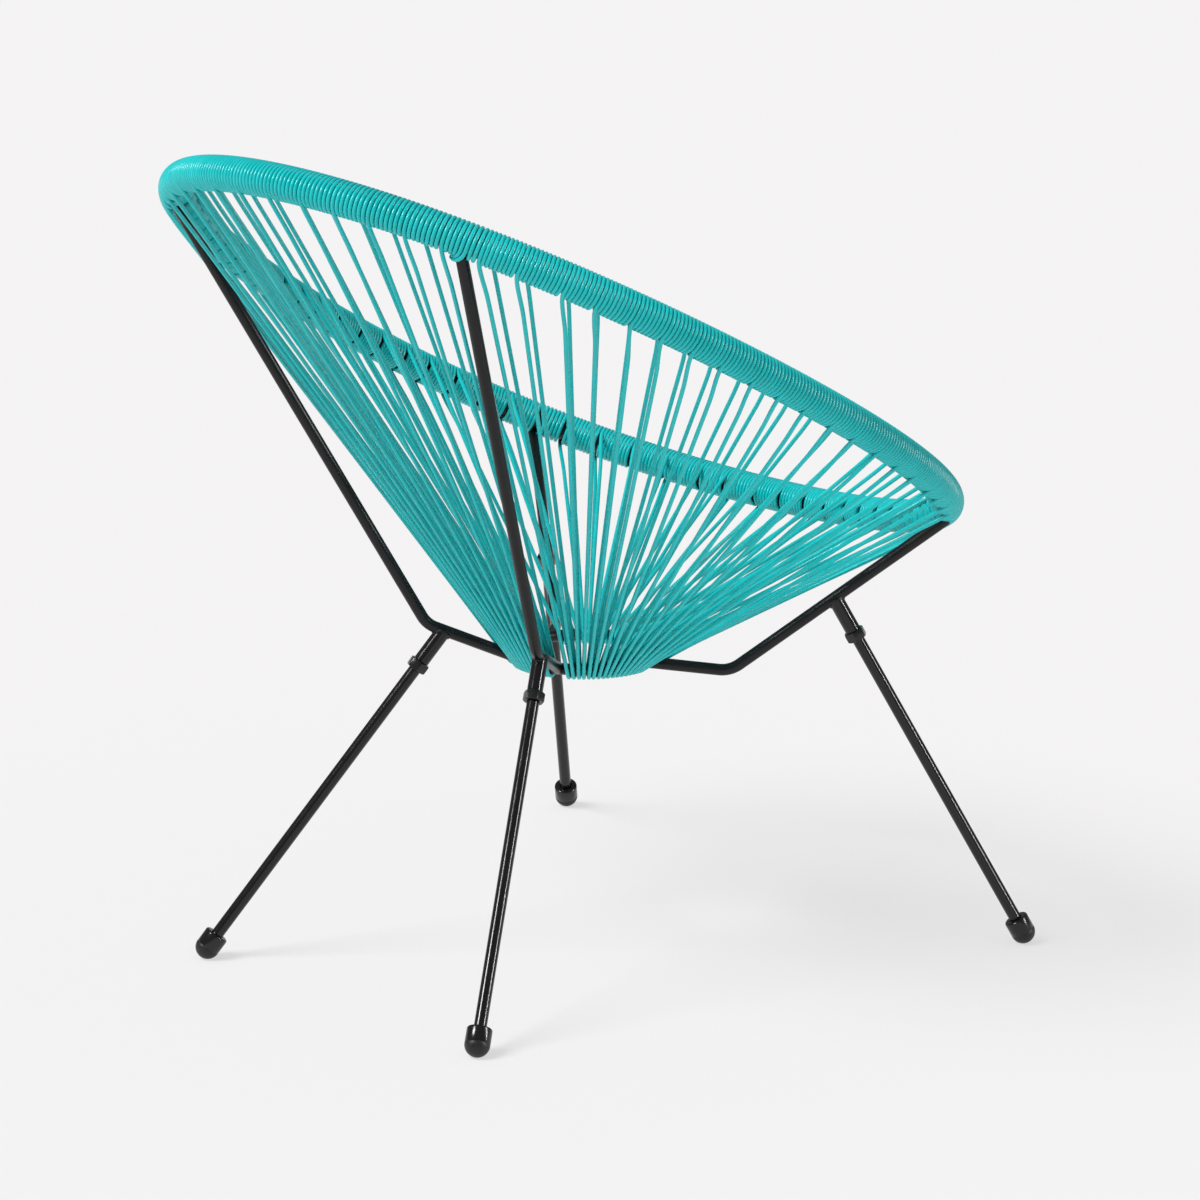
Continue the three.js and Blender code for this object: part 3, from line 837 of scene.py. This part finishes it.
def cordPath(sector, ringTurnsHere):
    pitch, places = sector["pitch"], sector["places"]
    skip = cordShape["skipShare"] * pitch
    bend = cordShape["bendLength"]
    last = len(sector["turns"]) - 1
    reachIn = crossing["reachIn"]
    crossed = round((places[0] - sector["bareStart"] - reachIn) / (2 * cordShape["radius"]))
    path = []
    for i, turns in enumerate(sector["turns"]):
        if i == 0:
            arcStart, angleStart = sector["bareStart"] + reachIn, cordShape["endAngle"] - fullTurn
            turns += crossed
        else:
            arcStart, angleStart = places[i] + skip, innerAngle
        if i < last:
            outerTop, outerFoot, outerOffset, ringOuter = strandEnds(places[i + 1], ringTurnsHere[i], 1)
            arcEnd, angleEnd = places[i + 1], angleRoundHoop(places[i + 1], outerOffset)
        else:
            arcEnd, angleEnd = places[i + 1] + reachIn, cordShape["endAngle"]
        angleEnd += (turns - 1) * fullTurn
        strutSide = places[0] if i == 0 else None
        found = windingPoints(arcStart, angleStart, arcEnd, angleEnd, strutSide, sector["stack"])
        if i > 0:
            heading = (found[1] - found[0]).normalized() * cordShape["turnHold"]
            path += bendPoints(bendStart, innerRun, found[0], heading, cordShape["bendSteps"])
        path += found
        if i == last:
            break
        outerRun = (outerFoot - outerTop).normalized()
        heading = (found[-1] - found[-2]).normalized() * cordShape["turnHold"]
        bendEnd = outerTop + bend * outerRun
        path += bendPoints(found[-1], heading, bendEnd, outerRun, cordShape["bendSteps"]) + [bendEnd]
        back = places[i + 1] + skip
        innerTop, innerFoot, innerOffset, ringInner = strandEnds(back, ringTurnsHere[i], -1)
        innerAngle = angleRoundHoop(back, innerOffset)
        axis = direction(ringTurnsHere[i] + fullTurn / 4)
        sweep = math.atan2(ringOuter.cross(ringInner).dot(axis), ringOuter.dot(ringInner))
        under = Matrix.Rotation(sweep / 2, 3, axis) @ ringOuter
        if under.z > 0:
            sweep -= math.copysign(fullTurn, sweep)
        ringCentre = ringPoint(ringTurnsHere[i])
        for n in range(cordShape["ringSteps"] + 1):
            turnedBy = Matrix.Rotation(sweep * n / cordShape["ringSteps"], 3, axis)
            path.append(ringCentre + turnedBy @ ringOuter)
        innerRun = (innerTop - innerFoot).normalized()
        bendStart = innerTop - bend * innerRun
        path.append(bendStart)
    return path


# Notes at each point how far along the cord it lies
def markRun(mesh, path, sides):
    run = [0.0]
    for a, b in zip(path, path[1:]):
        run.append(run[-1] + (b - a).length)
    caps = len(mesh.vertices) - sides * len(path)
    values = [0.0] * caps + [place for place in run for _ in range(sides)]
    attribute = mesh.attributes.new("cordRun", "FLOAT", "POINT")
    attribute.data.foreach_set("value", values)
    return run[-1]


strandCount = 0
totalCord = 0.0
for sector in cordSectors:
    strands = len(sector["turns"]) - 1
    path = cordPath(sector, ringTurns[strandCount:strandCount + strands])
    strandCount += strands
    name = "seatCord" + sector["label"]
    mesh = tubeMesh(name, path, cordShape["radius"], cordShape["roundness"])
    length = markRun(mesh, path, sidesOf(cordShape["roundness"]))
    totalCord += length
    mesh = mergeCaps(mesh)
    addPiece(name, mesh, "frame", [sector["node"]], ["cord"], cordShape["sharpAngle"])
    print(name, "pitch", round(sector["pitch"] * 1000, 3), "mm, length", round(length, 2), "m,",
          len(mesh.polygons), "faces")
print("seat cord made:", round(totalCord, 1), "m")

# Sockets, lock nuts, legs and foot caps, made along Z from the strut's axis down the leg

socketShape = {
    "radius": 0.008,
    "start": 0.001,
    "length": 0.039,
    "bore": 0.0063,
    "boreDepth": 0.025,
    "edge": 0.0005,
    "steps": 40,
}
nutShape = {
    "acrossFlats": 0.019,
    "thickness": 0.010,
    "chamfer": 0.0011,
    "bore": 0.0063,
    "edge": 0.0003,
    "edgeSteps": 2,
    "edgeAngle": math.radians(25),
    "steps": 48,
}
legShape = {
    "radius": 0.00635,
    "threadRadius": 0.006,
    "threadLength": 0.034,
    "edge": 0.0008,
    "steps": 40,
}
capShape = {
    "radius": 0.0126,
    "straightLength": 0.0167,
    "edge": 0.0022,
    "flatDepth": 0.0004,
    "boreGap": 0.0003,
    "boreEdge": 0.0004,
    "aboveDome": 0.0015,  # where the leg ends
    "seamWidth": 0.0005,
    "seamDepth": 0.00022,
    "steps": 48,
    "arcSteps": 12,
}
pieceGap = 0.0003
nutStart = socketShape["length"] + pieceGap
legShoulder = nutStart + nutShape["thickness"] + pieceGap


def socketMesh(c, name, place):
    edge = c["edge"]
    bm = turnedShape([
        (0, c["start"]),
        (c["radius"] - edge, c["start"]),
        (c["radius"], c["start"] + edge),
        (c["radius"], c["length"] - edge),
        (c["radius"] - edge, c["length"]),
        (c["bore"], c["length"]),
        (c["bore"], c["length"] - c["boreDepth"]),
        (0, c["length"] - c["boreDepth"]),
    ], c["steps"])
    return meshOf(bm, name, place)


# A hexagon with its corners turned down to a cone at both faces
def nutMesh(c, name, place):
    corner = c["acrossFlats"] / math.sqrt(3)
    flat = c["acrossFlats"] / 2
    turnedBlank = turnedShape([
        (c["bore"], 0),
        (flat, 0),
        (corner, c["chamfer"]),
        (corner, c["thickness"] - c["chamfer"]),
        (flat, c["thickness"]),
        (c["bore"], c["thickness"]),
        (c["bore"], 0),
    ], c["steps"])
    blank = bpy.data.objects.new(name + "Blank", meshOf(turnedBlank, name + "Blank"))
    bm = bmesh.new()
    bmesh.ops.create_cone(bm, cap_ends=True, segments=6, radius1=corner, radius2=corner,
                          depth=2 * c["thickness"])
    hexagon = bpy.data.objects.new(name + "Hexagon", meshOf(bm, name + "Hexagon"))
    for holder in (blank, hexagon):
        bpy.context.scene.collection.objects.link(holder)
    cut = blank.modifiers.new("hexagonCut", "BOOLEAN")
    cut.operation = "INTERSECT"
    cut.object = hexagon
    edge = blank.modifiers.new("softEdge", "BEVEL")
    edge.width = c["edge"]
    edge.segments = c["edgeSteps"]
    edge.limit_method = "ANGLE"
    edge.angle_limit = c["edgeAngle"]
    graph = bpy.context.evaluated_depsgraph_get()
    mesh = bpy.data.meshes.new_from_object(blank.evaluated_get(graph))
    for holder in (blank, hexagon):
        bpy.data.objects.remove(holder)
    mesh.transform(place @ Matrix.Translation((0, 0, nutStart)))
    return mesh


def legMesh(c, name, place, end):
    edge = c["edge"]
    top = legShoulder - c["threadLength"]
    bm = turnedShape([
        (0, top),
        (c["threadRadius"] - edge, top),
        (c["threadRadius"], top + edge),
        (c["threadRadius"], legShoulder),
        (c["radius"] - edge / 2, legShoulder),
        (c["radius"], legShoulder + edge / 2),
        (c["radius"], end - edge),
        (c["radius"] - edge, end),
        (0, end),
    ], c["steps"])
    return meshOf(bm, name, place)


# A sleeve with a rounded mouth, a faint seam, and a round end that is flat where it stands
def capMesh(c, name, place, domeCentre):
    radius, edge = c["radius"], c["edge"]
    mouth = domeCentre - c["straightLength"]
    bore = legShape["radius"] + c["boreGap"]
    boreEnd = domeCentre - c["aboveDome"] + c["boreGap"]
    outline = [(0, boreEnd), (bore, boreEnd), (bore, mouth + c["boreEdge"]), (bore + c["boreEdge"], mouth)]
    mouthSteps = c["arcSteps"] // 2
    for i in range(mouthSteps + 1):
        angle = math.pi / 2 * i / mouthSteps
        outline.append((radius - edge + edge * math.sin(angle), mouth + edge * (1 - math.cos(angle))))
    seam = domeCentre - c["seamWidth"]
    outline += [(radius, seam - c["seamWidth"]), (radius - c["seamDepth"], seam), (radius, domeCentre)]
    for i in range(1, c["arcSteps"]):
        angle = math.pi / 2 * i / c["arcSteps"]
        outline.append((radius * math.cos(angle), domeCentre + radius * math.sin(angle)))
    outline.append((0, domeCentre + radius))
    bm = turnedShape(outline, c["steps"])
    for face in bm.faces:
        face.material_index = 1 if face.calc_center_median().z > seam else 0
    bmesh.ops.transform(bm, matrix=place, verts=bm.verts)
    bmesh.ops.bisect_plane(bm, geom=bm.verts[:] + bm.edges[:] + bm.faces[:], dist=cutTolerance,
                           plane_co=(0, 0, 0), plane_no=upward, clear_inner=True)
    made = bmesh.ops.holes_fill(bm, edges=[edge for edge in bm.edges if edge.is_boundary], sides=0)
    for face in made["faces"]:
        face.material_index = 1
    bmesh.ops.recalc_face_normals(bm, faces=bm.faces)
    return meshOf(bm, name)


weldShape = {
    "radius": 0.0014,
    "steps": 56,
    "roundness": 3,
    "waveShare": 0.22,  # of the radius, the small waves that a weld leaves
    "waveStep": 0.55,
    "insetShare": 0.99,  # of the socket's radius
}


def beadMesh(c, name, path, seed):
    waves = [noise.noise(Vector((i * c["waveStep"], seed, 0))) for i in range(len(path))]
    swell = [1 + c["waveShare"] * wave for wave in waves]
    return mergeCaps(tubeMesh(name, path, c["radius"], c["roundness"], closed=True, swell=swell))


# Where the socket's wall meets the strut: each line of the wall, foot + height * Z, ends where it comes
# as near to the strut's axis as the strut's radius
def socketWeldPath(corner, place):
    along = (place.to_3x3().inverted() @ corner["onStrut"]).normalized()
    steps = weldShape["steps"]
    inset = weldShape["insetShare"]
    path = []
    for i in range(steps):
        angle = fullTurn * i / steps
        radius = socketShape["radius"]
        foot = Vector((radius * math.cos(angle), radius * math.sin(angle), 0))
        a = upward - upward.dot(along) * along
        b = foot - foot.dot(along) * along
        qa, qb, qc = a.dot(a), 2 * a.dot(b), b.dot(b) - strutShape["radius"] ** 2
        root = qb * qb - 4 * qa * qc
        height = (-qb + math.sqrt(max(root, 0.0))) / (2 * qa)
        path.append(place @ Vector((foot.x * inset, foot.y * inset, max(height, socketShape["start"]))))
    return path


for index, corner in enumerate(corners):
    shape, side, label, node = corner["shape"], corner["side"], corner["label"], corner["node"]
    corner["onStrut"] = corner["arm"] if shape["socketFromBend"] > 0 else corner["foot"]
    joint = corner["bend"] + shape["socketFromBend"] * corner["onStrut"]
    down = direction(side * shape["legAzimuth"], shape["legLean"] - math.pi / 2)
    place = Matrix.Translation(joint) @ upward.rotation_difference(down).to_matrix().to_4x4()
    domeHeight = capShape["radius"] - capShape["flatDepth"]
    domeCentre = (joint.z - domeHeight) / -down.z
    legEnd = domeCentre - capShape["aboveDome"]
    name = "socketSleeve" + label
    mesh = socketMesh(socketShape, name, place)
    addPiece(name, mesh, "frame", ["socket_" + node], ["leg"])
    name = "socketWeld" + label
    mesh = beadMesh(weldShape, name, socketWeldPath(corner, place), index)
    addPiece(name, mesh, "frame", [], ["weld"], sharpAngle=None)
    name = "lockNut" + label
    mesh = nutMesh(nutShape, name, place)
    addPiece(name + "Hex", mesh, "lock_nut_" + node, ["lock_nut_" + node], ["nut"])
    name = "legBar" + label
    mesh = legMesh(legShape, name, place, legEnd)
    addPiece(name, mesh, "leg_" + node, ["leg_" + node], ["leg"])
    name = "footCapRound" + label
    mesh = capMesh(capShape, name, place, domeCentre)
    addPiece(name, mesh, "leg_" + node, ["foot_cap_" + node], ["sleeve", "dome"])
print("sockets, nuts, legs and feet made")
